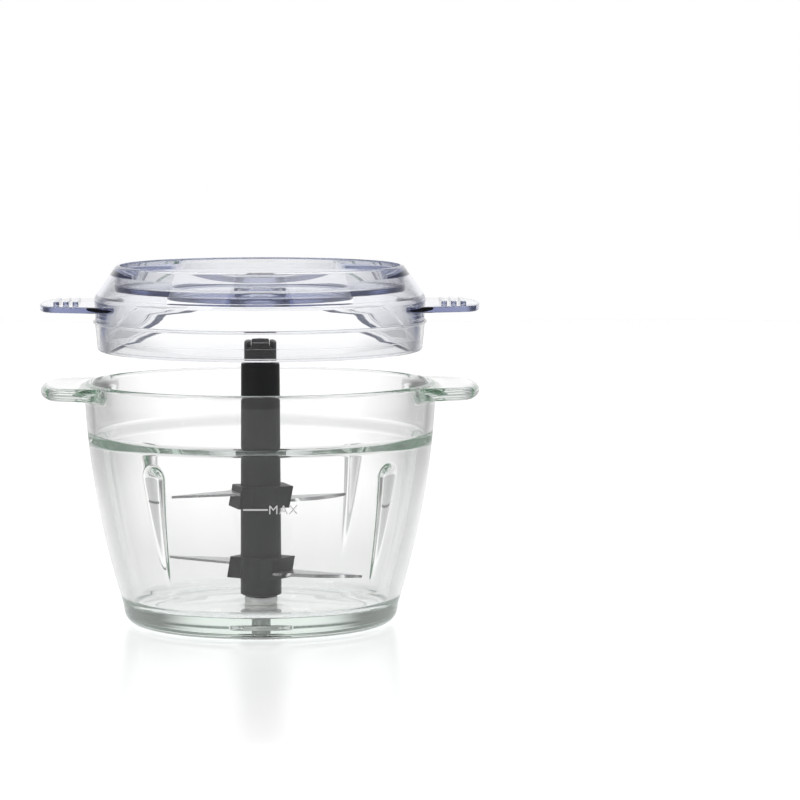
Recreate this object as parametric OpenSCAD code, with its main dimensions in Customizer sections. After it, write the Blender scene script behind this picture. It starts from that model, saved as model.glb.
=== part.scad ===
// Bowl, blade set and lid of a mini chopper, in millimetres with +Z up.
// The origin is the middle of the base, on the table. The ears and tabs point along X.
// The lid is held above the bowl, as it is while the bowl is being filled.

/* [Bowl] */
// Height of the bowl from the table to the top of its rim
bowl_h = 102.4; // [96:0.2:120]
// Outer radius of the rim
rim_r = 74.2; // [73:0.2:84]
// Glass thickness at the rim
rim_wall = 3.3; // [2.8:0.1:4]
// Outer radius of the wall just above the rounded foot
foot_r = 57.4; // [55:0.2:62]
// Radius of the rounding at the foot
foot_round = 5.5; // [3:0.5:7]
// How far the wall bows out from a straight line
wall_bow = 3.4; // [1.5:0.1:4]
// Glass thickness of the wall below the ledge
wall_t = 5.8; // [5:0.1:6.6]
// Height of the inner floor above the table
floor_z = 9.5; // [9:0.5:13]
// Radius of the rounding between floor and wall
floor_round = 6; // [3:0.5:9]
// Radius of the shallow hollow under the base
hollow_r = 44; // [38:1:48]
// Depth of the shallow hollow under the base
hollow_d = 0.8; // [0.4:0.1:1.2]

/* [Lid seat in the bowl] */
// Depth of the seat from the top of the rim to the lower edge of the ledge
seat_depth = 24; // [21:0.5:28]
// How much narrower the seat is at the ledge than at the rim
seat_inset = 1.5; // [0.8:0.1:1.8]
// Radius of the rounded edge of the ledge
ledge_round = 1.8; // [1:0.1:2.2]
// How far the ledge slopes up from its lower edge to the seat
ledge_rise = 2.4; // [1:0.1:3]

/* [Ears of the bowl] */
// Distance from the axis to the tip of an ear
ear_reach = 92.4; // [88:0.2:100]
// Half the width of an ear near the rim
ear_root_half = 38; // [30:0.5:40]
// Half the width of an ear at its tip
ear_tip_half = 26; // [20:0.5:30]
// Rounding of an ear's corners seen from above
ear_corner = 9; // [5:0.5:12]
// Thickness of an ear
ear_t = 5.4; // [4.6:0.1:7]
// How far the top of an ear lies below the top of the rim
ear_drop = 0.8; // [0.3:0.1:3]

/* [Ribs inside the bowl] */
// Number of ribs
rib_count = 4; // [2:1:6]
// Turn of the first rib from the X axis, in degrees
rib_turn = 50; // [30:1:60]
// Radius of a rib at its rounded top
rib_r = 4.6; // [3:0.1:5]
// Height of the centre of a rib's rounded top
rib_top_z = 67; // [50:1:68]
// Height at which a rib runs out into the wall
rib_foot_z = 19; // [18:1:30]
// Radius of a rib where it runs out
rib_run_out = 1; // [0.6:0.1:1.5]
// How far the middle of a rib lies inside the wall
rib_sink = 0.3; // [0.1:0.1:0.6]

/* [Pivot pin] */
// Radius of the pin on which the blade set turns
pin_r = 3; // [2.6:0.1:3.4]
// Height of the pin above the floor
pin_h = 52; // [45:1:60]
// Radius of the stud that goes through the glass
stud_r = 2.5; // [2:0.1:2.6]
// Radius of the flange that sits on the floor
flange_r = 7; // [6:0.1:8]
// Thickness of the flange
flange_t = 1.6; // [1:0.1:2.5]
// Thickness of the two soft gaskets
gasket_t = 0.8; // [0.5:0.1:1]
// How far the flange covers the upper gasket
gasket_inset = 0.4; // [0.2:0.1:1]
// Thickness of the washer
washer_t = 0.7; // [0.5:0.1:1]
// Thickness of the nut
nut_t = 2.3; // [1.8:0.1:2.5]
// Width of the nut across its flats
nut_flats = 8; // [7:0.5:9]
// Radius of the pocket under the base that holds the nut
pocket_r = 9; // [8:0.5:12]
// Depth of that pocket
pocket_d = 5; // [4.8:0.1:5.6]
// Gap between the washer and the wall of the pocket
washer_gap = 1.6; // [1:0.1:2]
// How far the stud's end stands out of the nut
stud_out = 0.4; // [0.2:0.1:0.6]
// Height of the bevel at the pin's tip
pin_tip = 0.8; // [0.4:0.1:1.2]

/* [Blade shaft] */
// Outer radius of the shaft at its shoulder
shaft_top_r = 8.15; // [7.6:0.05:8.6]
// Outer radius of the shaft at its lower end
shaft_low_r = 8.7; // [8.7:0.05:9.2]
// Radius of the narrower drive end
neck_r = 6.8; // [6.2:0.1:7.2]
// Length of the drive end
neck_len = 8.2; // [6:0.2:12]
// Height of the shaft's shoulder above the top of the rim
shoulder_up = 7.6; // [5:0.2:10]
// Radius of the sleeve that runs on the pin
sleeve_r = 5.2; // [4.8:0.1:5.6]
// Thickness of the sleeve's closed end
sleeve_cap = 2.5; // [2:0.1:4]
// How far the sleeve's snap bead stands out
bead = 0.4; // [0.2:0.1:0.5]
// Height of the snap bead
bead_h = 1; // [0.6:0.1:1.5]
// Height of the bead above the sleeve's lower end
bead_up = 3; // [2:0.1:4]
// Size of the bevels at the shaft's lower end, shoulder and drive end
shaft_bevel = 0.6; // [0.3:0.1:1]
// Radius of the metal insert in the drive end
socket_r = 4.4; // [4:0.1:4.8]
// Length of the insert
socket_len = 11; // [8:0.5:14]
// Width of the insert's hexagon across its flats
socket_flats = 5.5; // [4:0.5:6]
// Width of the two notches across the drive end
notch_w = 2.6; // [2:0.1:3.5]
// Depth of those notches
notch_d = 1.6; // [1:0.1:2.5]
// Turn of the notches from the X axis, in degrees
notch_turn = 45; // [0:5:90]
// Thickness of the insert's closed end
socket_end = 2; // [1.5:0.1:3]
// How far the insert lies below the notches
socket_sink = 0.4; // [0.2:0.1:1]

/* [Blades] */
// Height of the middle of the upper blade above the table
upper_z = 54; // [48:1:56]
// Height of the middle of the lower blade above the table
lower_z = 24; // [22:1:30]
// Reach of the upper blade's tips from the axis
upper_reach = 42; // [36:1:48]
// Reach of the lower blade's tips from the axis
lower_reach = 50; // [44:1:52]
// Turn of the upper blade from the X axis, in degrees
upper_turn = 16; // [0:1:90]
// Turn of the lower blade from the X axis, in degrees
lower_turn = -35; // [-90:1:0]
// Thickness of the steel
blade_t = 1; // [0.8:0.1:1.4]
// Width of the steel
blade_w = 14.5; // [13:0.5:15.5]
// Height between the two wings of one blade
blade_step = 3.2; // [2.4:0.1:4]
// Radius of the curve of a wing's cutting side, as a share of its reach
sweep_share = 0.9; // [0.85:0.05:1.2]
// Distance from the axis at which that curve starts, as a share of the reach
start_share = 0.25; // [0.2:0.05:0.4]
// Plastic between the shaft and the joggle that joins the wings of a blade
joggle_gap = 0.2; // [0.2:0.05:0.4]
// Gap between the sleeve and the eye in the middle of a blade
eye_gap = 0.4; // [0.3:0.1:0.8]
// Outer radius of a carrier's collar
collar_r = 9.7; // [9.5:0.1:10.5]
// Height of a carrier
carrier_h = 9; // [8:0.5:12]
// Distance from the axis to the outer edge of a carrier's lugs
lug_reach = 12; // [11.6:0.2:14]
// Distance from the axis to the drawn-in edge of the lugs
lug_waist = 10.2; // [10.1:0.1:11]
// How much wider a lug is than the steel in it
lug_cheeks = 1.5; // [1:0.1:2.5]
// Size of the bevel on a lug's drawn-in edge
lug_bevel = 0.8; // [0.5:0.1:1.2]

/* [Lid] */
// Height of the lid above its seat, held up while the bowl is filled
lid_raise = 30.6; // [25:0.2:45]
// Wall thickness of the lid
lid_wall = 2.1; // [1.8:0.1:2.4]
// Height from the underside of the tabs to the top of the lid
lid_rise = 18.4; // [17:0.2:22]
// Height of the upright band above the underside of the tabs
band_h = 5; // [4:0.2:6]
// How far that band stands out over the neck below it
band_step = 0.4; // [0.2:0.1:1]
// Radius of the recess in which the motor unit sits
recess_r = 59; // [54:0.5:60]
// Depth of that recess
recess_d = 9; // [6:0.2:10]
// Radius of the deeper middle of the recess
well_r = 37; // [30:0.5:42]
// How much deeper the middle of the recess is
well_d = 3.6; // [2.4:0.2:4]
// Depth of the skirt below the underside of the tabs
skirt_d = 17.5; // [15:0.5:18.5]
// Height of the neck between the tabs and the seal
neck_h = 4.8; // [3.5:0.1:6]
// Height of the collar round the hole for the shaft
guide_h = 3; // [1:0.2:4]

/* [Tabs of the lid] */
// Distance from the axis to the tip of a tab
tab_reach = 92.4; // [88:0.2:100]
// Half the width of a tab near the lid
tab_root_half = 34.5; // [31:0.5:40]
// Half the width of a tab at its tip
tab_tip_half = 24; // [20:0.5:28]
// Rounding of a tab's corners seen from above
tab_corner = 8; // [5:0.5:12]
// Thickness of a tab
tab_t = 2.5; // [2:0.1:3.5]
// Number of grip ribs on a tab
grip_count = 3; // [1:1:3]
// Length of a grip rib
grip_len = 28; // [16:1:32]
// Width of a grip rib
grip_w = 2.4; // [1.6:0.1:2.8]
// How far a grip rib stands up
grip_h = 1.3; // [0.6:0.1:2]
// Distance between the grip ribs
grip_pitch = 4; // [3.4:0.1:4.2]

/* [Seal of the lid] */
// Thickness of the seal outside the skirt
seal_t = 1.9; // [1.4:0.1:2.2]
// How far the seal's lip stands out from it
seal_lip = 0.9; // [0.4:0.1:1]
// Height of that lip
seal_lip_h = 1.4; // [0.8:0.1:2]
// Thickness of the seal under and inside the skirt
seal_wrap = 1.2; // [0.8:0.1:1.5]
// Height of the seal inside the skirt
seal_inner_h = 4; // [2:0.5:7]
// How much narrower the seal is at its lower edge
seal_taper = 1; // [0:0.1:1.2]
// Bevel at the seal's lower outer edge
seal_bevel = 1.4; // [0.6:0.1:1.8]
// Bevel at the edges of the seal's lip
lip_bevel = 0.3; // [0.1:0.1:0.4]

/* [Fits] */
// Gap between the seal's lip and its seat
seal_gap = 0.35; // [0.3:0.05:0.6]
// Gap round a running shaft
run_gap = 0.05; // [0.02:0.01:0.1]
// Gap round a piece that is pushed on or in
push_gap = 0.03; // [0.02:0.01:0.06]
// Gap round the stud in the glass
stud_gap = 0.2; // [0.1:0.05:0.4]
// Gap round the shaft in the lid's hole
guide_gap = 0.65; // [0.4:0.05:1]
// Gap between the flange and what turns above it
foot_gap = 0.5; // [0.3:0.1:1]

/* [Hidden] */

$fn = 96;
past = 1;
tip_over = 0.1;
arc_steps = 6;
wall_steps = 14;

glass_green = [0.82, 0.9, 0.85, 0.5];
clear_blue = [0.8, 0.86, 0.97, 0.6];
milky = [0.9, 0.92, 0.95];
shaft_black = [0.13, 0.13, 0.13];
steel = [0.75, 0.76, 0.78];

rim_round = rim_wall / 2;
wall_top_z = bowl_h - rim_round;
ledge_z = bowl_h - seat_depth;
seat_top_r = rim_r - rim_wall;

// Radius of the outer wall at height z: a straight line that bows out in the middle
function wall_r(z) =
    let (t = (z - foot_round) / (wall_top_z - foot_round))
    foot_r + (rim_r - foot_r) * t + 4 * wall_bow * t * (1 - t);
// Radius of the inner wall below the ledge
function inner_r(z) = wall_r(z) - wall_t;
// Radius of the lid's seat, which narrows towards the ledge
function seat_r(z) = seat_top_r - seat_inset * (wall_top_z - z) / (wall_top_z - ledge_z);
// Points of an arc in the plane
function arc(centre, r, from, to) =
    [for (i = [0 : arc_steps])
        let (a = from + (to - from) * i / arc_steps)
        centre + r * [cos(a), sin(a)]];

floor_corner_z = floor_z + floor_round;
ear_top_z = bowl_h - ear_drop;
ear_mid_z = ear_top_z - ear_t / 2;
ear_root_x = sqrt(pow(rim_r, 2) - pow(ear_root_half, 2)) - wall_t;

flange_z = floor_z + gasket_t;
flange_top_z = flange_z + flange_t;
pin_top_z = floor_z + pin_h;
washer_z = pocket_d - gasket_t;
nut_z = washer_z - washer_t;
gasket_r = flange_r - gasket_inset;
washer_r = pocket_r - washer_gap;

lid_z = bowl_h + lid_raise;
recess_z = lid_rise - recess_d;
well_z = recess_z - well_d;
guide_r = shaft_top_r + guide_gap;
lip_top_z = -neck_h;
seal_r = seat_r(bowl_h + lip_top_z - seal_lip_h) - seal_gap - seal_lip;
groove_r = seal_r - seal_t;
lid_neck_r = seal_r;
band_r = lid_neck_r + band_step;
skirt_inner_r = groove_r - lid_wall;
skirt_end_z = -skirt_d + seal_wrap;
top_ring_r = recess_r + lid_wall;
ring_round = lid_wall / 2;
tab_root_x = sqrt(pow(band_r, 2) - pow(tab_root_half, 2)) - lid_wall;

sleeve_z = flange_top_z + foot_gap;
sleeve_top_z = pin_top_z + sleeve_cap;
bead_z = sleeve_z + bead_up;
shaft_z = flange_top_z + foot_gap;
shoulder_z = bowl_h + shoulder_up;
shaft_end_z = shoulder_z + neck_len;
socket_recess = notch_d + socket_sink;
socket_top_z = shaft_end_z - socket_recess;

// Outer radius of the shaft at height z, which narrows towards the shoulder
function shaft_r(z) =
    shaft_low_r + (shaft_top_r - shaft_low_r) * (z - shaft_z) / (shoulder_z - shaft_z);

joggle_x = shaft_low_r + joggle_gap;
wing_z = blade_step / 2;
lug_w = blade_w + lug_cheeks;

// Plan of a rounded tab along +X. Its tip is an arc about the axis, and its straight
// sides run from the root, at root_x, to the rounded corners. The last point of a corner
// lies a little outside the tip's arc, so that the two cross cleanly.
module tab_plan(reach, root_half, tip_half, corner, root_x) {
    root = [root_x, root_half];
    side = [reach, tip_half] - root;
    along = side / norm(side);
    inward = [along.y, -along.x];
    start = root + corner * inward;
    run = -start * along + sqrt(pow(start * along, 2) - start * start + pow(reach - corner, 2));
    centre = start + run * along;
    outward = centre / norm(centre);
    corner_arc = arc(
        centre, corner, atan2(-inward.y, -inward.x), atan2(outward.y, outward.x)
    );
    edge = concat(
        [root], [for (i = [0 : arc_steps - 1]) corner_arc[i]],
        [(reach + tip_over) * outward, 2 * reach * outward]
    );
    intersection() {
        circle(reach);
        polygon(concat(
            edge, [for (i = [len(edge) - 1 : -1 : 0]) [edge[i].x, -edge[i].y]]
        ));
    }
}

// Half of the bowl's section, to be turned about the axis
module bowl_section() {
    wall_at = [for (i = [0 : wall_steps])
        foot_round + (wall_top_z - foot_round) * i / wall_steps];
    inner_top_z = ledge_z - ledge_round;
    inner_at = [for (i = [0 : wall_steps])
        inner_top_z + (floor_corner_z - inner_top_z) * i / wall_steps];
    ledge_centre = [inner_r(inner_top_z) + ledge_round, inner_top_z];
    ledge_top = [seat_r(ledge_z + ledge_rise), ledge_z + ledge_rise];
    ledge_run = ledge_top - ledge_centre;
    ledge_turn = atan2(ledge_run.y, ledge_run.x) + acos(ledge_round / norm(ledge_run));
    floor_centre = [inner_r(floor_corner_z) - floor_round, floor_corner_z];
    polygon(concat(
        [[0, hollow_d], [hollow_r, hollow_d], [hollow_r + hollow_d, 0]],
        arc([foot_r - foot_round, foot_round], foot_round, -90, 0),
        [for (z = wall_at) if (z > foot_round) [wall_r(z), z]],
        arc([rim_r - rim_round, wall_top_z], rim_round, 0, 180),
        [ledge_top],
        arc(ledge_centre, ledge_round, ledge_turn, 180),
        [for (z = inner_at) if (z < inner_top_z) [inner_r(z), z]],
        arc(floor_centre, floor_round, 0, -90),
        [[0, floor_z]]
    ));
}

// The two ears: a slab with a rounded outer edge, cut to the plan of a tab
module ears() {
    for (turn = [0, 180])
        rotate(turn)
            intersection() {
                translate([0, 0, ear_mid_z - ear_t])
                    linear_extrude(2 * ear_t)
                        tab_plan(ear_reach, ear_root_half, ear_tip_half, ear_corner, ear_root_x);
                rotate_extrude() {
                    translate([rim_r - rim_round, ear_mid_z - ear_t / 2])
                        square([ear_reach - rim_r + rim_round - ear_t / 2, ear_t]);
                    translate([ear_reach - ear_t / 2, ear_mid_z])
                        circle(ear_t / 2);
                }
            }
}

// One rib: a cone that runs out into the wall below and ends in a ball above
module bowl_rib() {
    foot = [inner_r(rib_foot_z) + rib_run_out + rib_sink, rib_foot_z];
    top = [inner_r(rib_top_z) + rib_sink, rib_top_z];
    lean = atan2(top.x - foot.x, top.y - foot.y);
    translate([foot.x, 0, foot.y])
        rotate([0, lean, 0])
            cylinder(h = norm(top - foot), r1 = rib_run_out, r2 = rib_r);
    translate([top.x, 0, top.y])
        sphere(rib_r);
}

module glass_bowl() {
    color(glass_green)
        difference() {
            union() {
                rotate_extrude()
                    bowl_section();
                ears();
                for (i = [0 : rib_count - 1])
                    rotate(rib_turn + i * 360 / rib_count)
                        bowl_rib();
            }
            cylinder(h = floor_z + past, r = stud_r + stud_gap);
            translate([0, 0, -past])
                cylinder(h = pocket_d + past, r = pocket_r);
        }
}

module pivot_pin() {
    stud_end_z = nut_z - nut_t - stud_out;
    color(steel)
        rotate_extrude()
            polygon([
                [0, stud_end_z], [stud_r, stud_end_z], [stud_r, flange_z],
                [flange_r, flange_z], [flange_r, flange_top_z],
                [pin_r, flange_top_z], [pin_r, pin_top_z - pin_tip],
                [pin_r - pin_tip, pin_top_z], [0, pin_top_z]
            ]);
}

// A flat ring round the stud, from its lower face up
module stud_ring(outer_r, thickness, low_z) {
    translate([0, 0, low_z])
        difference() {
            cylinder(h = thickness, r = outer_r);
            translate([0, 0, -past])
                cylinder(h = thickness + 2 * past, r = stud_r + push_gap);
        }
}

module pin_gasket() {
    color(milky)
        stud_ring(gasket_r, gasket_t, floor_z);
}

module under_gasket() {
    color(milky)
        stud_ring(washer_r, gasket_t, washer_z);
}

module pin_washer() {
    color(steel)
        stud_ring(washer_r, washer_t, nut_z);
}

module pin_nut() {
    color(steel)
        translate([0, 0, nut_z - nut_t])
            difference() {
                cylinder(h = nut_t, r = nut_flats / 2 / cos(30), $fn = 6);
                translate([0, 0, -past])
                    cylinder(h = nut_t + 2 * past, r = stud_r + push_gap);
            }
}

// Bearing sleeve with a closed top that stands on the pin, and a snap bead low down
module pivot_sleeve() {
    bore_r = pin_r + run_gap;
    color(milky)
        rotate_extrude()
            polygon([
                [bore_r, sleeve_z], [sleeve_r, sleeve_z],
                [sleeve_r, bead_z], [sleeve_r + bead, bead_z + bead_h / 2],
                [sleeve_r, bead_z + bead_h],
                [sleeve_r, sleeve_top_z], [0, sleeve_top_z],
                [0, pin_top_z], [bore_r, pin_top_z]
            ]);
}

// Plan of one wing along +X: a strip whose cutting side sweeps round to the tip
module wing_plan(reach, root_x) {
    sweep_r = sweep_share * reach;
    intersection() {
        translate([root_x, -blade_w / 2])
            square([reach - root_x, blade_w]);
        circle(reach);
        translate([start_share * reach, sweep_r - blade_w / 2])
            circle(sweep_r);
    }
}

// One blade: a steel strip with an eye for the sleeve. One wing lies higher than the other,
// and a short upright joggle inside the lug joins them.
module blade_strip(reach) {
    eye_r = sleeve_r + eye_gap;
    translate([0, 0, wing_z - blade_t / 2])
        linear_extrude(blade_t)
            difference() {
                union() {
                    rotate(180)
                        wing_plan(reach, 0);
                    translate([-past, -blade_w / 2])
                        square([joggle_x + blade_t + past, blade_w]);
                }
                circle(eye_r);
            }
    translate([joggle_x, -blade_w / 2, -wing_z - blade_t / 2])
        cube([blade_t, blade_w, blade_step + blade_t]);
    translate([0, 0, -wing_z - blade_t / 2])
        linear_extrude(blade_t)
            wing_plan(reach, joggle_x);
}

// One lug of a carrier, along +X: wide at its top edge and drawn in below
module carrier_lug() {
    translate([0, lug_w / 2, 0])
        rotate([90, 0, 0])
            linear_extrude(lug_w)
                polygon([
                    [0, -carrier_h / 2], [lug_waist - lug_bevel, -carrier_h / 2],
                    [lug_waist, -carrier_h / 2 + lug_bevel],
                    [lug_reach, carrier_h / 2], [0, carrier_h / 2]
                ]);
}

// A collar with two lugs, pushed onto the shaft at height z. The lugs are turned over
// against each other, and the blade is moulded in.
module blade_carrier(z, turn, reach) {
    half = carrier_h / 2;
    difference() {
        translate([0, 0, z])
            rotate(turn)
                difference() {
                    union() {
                        cylinder(h = carrier_h, r = collar_r, center = true);
                        carrier_lug();
                        rotate([0, 180, 0])
                            carrier_lug();
                    }
                    blade_strip(reach);
                }
        rotate_extrude()
            polygon([
                [0, z - half - past], [shaft_r(z - half - past) + push_gap, z - half - past],
                [shaft_r(z + half + past) + push_gap, z + half + past], [0, z + half + past]
            ]);
    }
}

module placed_blade(z, turn, reach) {
    translate([0, 0, z])
        rotate(turn)
            blade_strip(reach);
}

module upper_blade() {
    color(steel)
        placed_blade(upper_z, upper_turn, upper_reach);
}

module lower_blade() {
    color(steel)
        placed_blade(lower_z, lower_turn, lower_reach);
}

module upper_carrier() {
    color(shaft_black)
        blade_carrier(upper_z, upper_turn, upper_reach);
}

module lower_carrier() {
    color(shaft_black)
        blade_carrier(lower_z, lower_turn, lower_reach);
}

// Shaft with a bore for the sleeve, a groove for its bead, slots for the two blades,
// and a notched drive end
module blade_shaft() {
    bore_r = sleeve_r + run_gap;
    color(shaft_black)
        difference() {
            rotate_extrude()
                polygon([
                    [0, shaft_z], [shaft_low_r - shaft_bevel, shaft_z],
                    [shaft_r(shaft_z + shaft_bevel), shaft_z + shaft_bevel],
                    [shaft_r(shoulder_z - shaft_bevel), shoulder_z - shaft_bevel],
                    [shaft_top_r - shaft_bevel, shoulder_z], [neck_r, shoulder_z],
                    [neck_r, shaft_end_z - shaft_bevel],
                    [neck_r - shaft_bevel, shaft_end_z], [0, shaft_end_z]
                ]);
            translate([0, 0, shaft_z - past])
                cylinder(h = sleeve_top_z - shaft_z + past, r = bore_r);
            translate([0, 0, bead_z - run_gap])
                cylinder(h = bead_h + 2 * run_gap, r = bore_r + bead);
            translate([0, 0, socket_top_z - socket_len])
                cylinder(h = socket_len + socket_recess + past, r = socket_r + push_gap);
            for (across = [0, 90])
                rotate(notch_turn + across)
                    translate([-neck_r - past, -notch_w / 2, shaft_end_z - notch_d])
                        cube([2 * (neck_r + past), notch_w, notch_d + past]);
            placed_blade(upper_z, upper_turn, upper_reach);
            placed_blade(lower_z, lower_turn, lower_reach);
        }
}

// Metal insert with a hexagonal recess for the motor's drive
module drive_socket() {
    color(steel)
        translate([0, 0, socket_top_z - socket_len])
            difference() {
                cylinder(h = socket_len, r = socket_r);
                translate([0, 0, socket_end])
                    cylinder(h = socket_len, r = socket_flats / 2 / cos(30), $fn = 6);
            }
}

// Half of the lid's section, with the underside of its tabs at zero
module lid_section() {
    slope = (band_r - top_ring_r) / (lid_rise - ring_round - band_h);
    wall_x = lid_wall * sqrt(1 + slope * slope);
    inner_band_r = band_r - lid_wall;
    inner_foot_z = band_h - (wall_x - lid_wall) / slope;
    apex_z = band_h + (band_r - wall_x - top_ring_r) / slope;
    polygon([
        [guide_r, well_z - lid_wall], [well_r + lid_wall, well_z - lid_wall],
        [well_r + lid_wall, recess_z - lid_wall], [top_ring_r, recess_z - lid_wall],
        [top_ring_r, apex_z], [inner_band_r, inner_foot_z],
        [inner_band_r, lip_top_z + lid_wall], [skirt_inner_r, lip_top_z],
        [skirt_inner_r, skirt_end_z], [groove_r, skirt_end_z],
        [groove_r, lip_top_z], [lid_neck_r, lip_top_z], [lid_neck_r, 0], [band_r, 0],
        [band_r, band_h], [top_ring_r, lid_rise - ring_round],
        [top_ring_r - ring_round / 2, lid_rise], [recess_r + ring_round / 2, lid_rise],
        [recess_r, lid_rise - ring_round], [recess_r, recess_z], [well_r, recess_z],
        [well_r, well_z], [guide_r + lid_wall, well_z], [guide_r + lid_wall, well_z + guide_h],
        [guide_r, well_z + guide_h]
    ]);
}

// Grip ribs along Y on one tab, in the middle of what stands out beyond the lid
module grip_ribs() {
    middle = (band_r + tab_reach) / 2;
    for (i = [0 : grip_count - 1])
        translate([middle + (i - (grip_count - 1) / 2) * grip_pitch, 0, tab_t - past]) {
            translate([-grip_w / 2, -grip_len / 2 + grip_w / 2, 0])
                cube([grip_w, grip_len - grip_w, grip_h + past]);
            for (end = [1, -1])
                translate([0, end * (grip_len - grip_w) / 2, 0])
                    cylinder(h = grip_h + past, r = grip_w / 2);
        }
}

module lid() {
    color(clear_blue)
        translate([0, 0, lid_z]) {
            rotate_extrude()
                lid_section();
            for (turn = [0, 180])
                rotate(turn) {
                    linear_extrude(tab_t)
                        difference() {
                            tab_plan(tab_reach, tab_root_half, tab_tip_half, tab_corner, tab_root_x);
                            circle(band_r - lid_wall / 2);
                        }
                    grip_ribs();
                }
        }
}

// Soft ring of U section pulled over the lower edge of the skirt, with a lip at its top
module lid_seal() {
    inner_r = skirt_inner_r - seal_wrap;
    color(milky)
        translate([0, 0, lid_z])
            rotate_extrude()
                polygon([
                    [groove_r, skirt_end_z], [groove_r, lip_top_z],
                    [seal_r + seal_lip - lip_bevel, lip_top_z],
                    [seal_r + seal_lip, lip_top_z - lip_bevel],
                    [seal_r + seal_lip, lip_top_z - seal_lip_h + lip_bevel],
                    [seal_r, lip_top_z - seal_lip_h],
                    [seal_r - seal_taper, -skirt_d + seal_bevel],
                    [seal_r - seal_taper - seal_bevel, -skirt_d],
                    [inner_r, -skirt_d], [inner_r, skirt_end_z + seal_inner_h],
                    [skirt_inner_r, skirt_end_z + seal_inner_h], [skirt_inner_r, skirt_end_z]
                ]);
}

glass_bowl();
pivot_pin();
pin_gasket();
under_gasket();
pin_washer();
pin_nut();
pivot_sleeve();
blade_shaft();
drive_socket();
upper_carrier();
upper_blade();
lower_carrier();
lower_blade();
lid();
lid_seal();
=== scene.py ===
import math

import bmesh
import bpy
from mathutils import Matrix, Vector


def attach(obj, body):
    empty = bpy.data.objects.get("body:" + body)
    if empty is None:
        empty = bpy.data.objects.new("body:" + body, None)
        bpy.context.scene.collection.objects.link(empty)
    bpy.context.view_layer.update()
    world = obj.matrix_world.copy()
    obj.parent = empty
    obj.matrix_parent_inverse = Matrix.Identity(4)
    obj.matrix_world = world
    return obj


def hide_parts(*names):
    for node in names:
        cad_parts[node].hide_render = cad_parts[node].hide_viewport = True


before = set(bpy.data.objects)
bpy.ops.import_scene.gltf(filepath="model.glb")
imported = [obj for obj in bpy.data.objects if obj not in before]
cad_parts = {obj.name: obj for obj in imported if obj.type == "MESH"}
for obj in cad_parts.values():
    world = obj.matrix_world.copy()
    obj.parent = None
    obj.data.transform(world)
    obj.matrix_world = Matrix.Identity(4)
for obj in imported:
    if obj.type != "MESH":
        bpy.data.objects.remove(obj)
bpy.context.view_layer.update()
scene = bpy.context.scene

# Camera: it stands in front of the bowl, a little above the rim, with a long lens, and
# looks past the bowl's right side, so that the bowl stands left of the middle.
camera = bpy.data.objects.new("camera", bpy.data.cameras.new("camera"))
scene.collection.objects.link(camera)
scene.camera = camera
camera.data.lens = 171
camera.location = (0, -1.6, 0.24)
camera_aim = Vector((0.059, 0, 0.094))
camera.rotation_euler = (camera_aim - camera.location).to_track_quat("-Z", "Y").to_euler()

# Glass bowl: pressed clear glass with a thick base, a ledge inside for the lid's seal,
# four upright ribs and two ears at the rim. It is turned from its section, and then the
# ears are drawn out of the rim and the ribs pushed in from the wall.
MM = 0.001
bowl_foot_r = 57.4
bowl_foot_round = 5.5
bowl_rim_r = 74.17
bowl_rim_round = 1.65
bowl_wall_top = 100.75
bowl_wall_bow = 3.4
bowl_wall_thick = 5.8
bowl_floor_z = 9.5
floor_edge_z, floor_round = 11, 3.5
wall_low_z, wall_high_z = 8, 93
inner_low_z, inner_high_z = 17.5, 75.5
pin_hole_r = 2.7
nut_pocket_r, nut_pocket_z = 9, 5
foot_hollow_r, foot_hollow_z = 44, 0.8
ledge_low_z, ledge_top_z = 77.3, 80.8
ledge_top_r = 69.56
ear_low, ear_high = 96.2, 101.6
ear_reach = 92.39
ear_root_half = 38
ear_tip_half = 26
ear_corner = 9
ear_round = (ear_high - ear_low) / 2
ear_fillet = 1.5


def turned(outline, steps):
    """A bmesh spun about the upright axis, an eighth of a turn first. The outline lists radius,
    height, the rounding of the corner and a mark for later shaping, in millimetres."""
    bm = bmesh.new()
    mark = bm.verts.layers.int.new("mark")
    corners = []
    for radius, height, *rest in outline:
        corner = bm.verts.new((radius * MM, 0, height * MM))
        corner[mark] = rest[1] if len(rest) > 1 else 0
        corners.append((corner, rest[0] if rest else 0))
    for (a, _), (b, _) in zip(corners, corners[1:]):
        bm.edges.new((a, b))
    if outline[0][0] > 0:
        bm.edges.new((corners[-1][0], corners[0][0]))
    for corner, rounding in corners:
        if rounding:
            bmesh.ops.bevel(
                bm, geom=[corner], offset=rounding * MM, offset_type="OFFSET",
                segments=2 if rounding < 0.7 else 6, profile=0.5, affect="VERTICES", material=-1)
    bmesh.ops.spin(
        bm, geom=bm.verts[:] + bm.edges[:], cent=(0, 0, 0), axis=(0, 0, 1),
        angle=math.tau / 8, steps=steps // 8)
    bmesh.ops.spin(
        bm, geom=bm.verts[:] + bm.edges[:] + bm.faces[:], cent=(0, 0, 0), axis=(0, 0, 1),
        angle=math.tau * 7 / 8, steps=7, use_duplicate=True)
    bmesh.ops.remove_doubles(bm, verts=bm.verts, dist=1e-6)
    bmesh.ops.recalc_face_normals(bm, faces=bm.faces)
    return bm


def put(name, bm, material, sharp=35):
    """A new object from a bmesh, smooth but for the edges sharper than the angle."""
    mesh = bpy.data.meshes.new(name)
    bm.to_mesh(mesh)
    bm.free()
    thing = bpy.data.objects.new(name, mesh)
    scene.collection.objects.link(thing)
    mesh.materials.append(material)
    mesh.shade_smooth()
    mesh.set_sharp_from_angle(angle=math.radians(sharp))
    return thing


def even_normals(thing):
    """Flat faces stay flat up to the rounded edges beside them."""
    normals = thing.modifiers.new("even normals", "WEIGHTED_NORMAL")
    normals.keep_sharp = True


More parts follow.
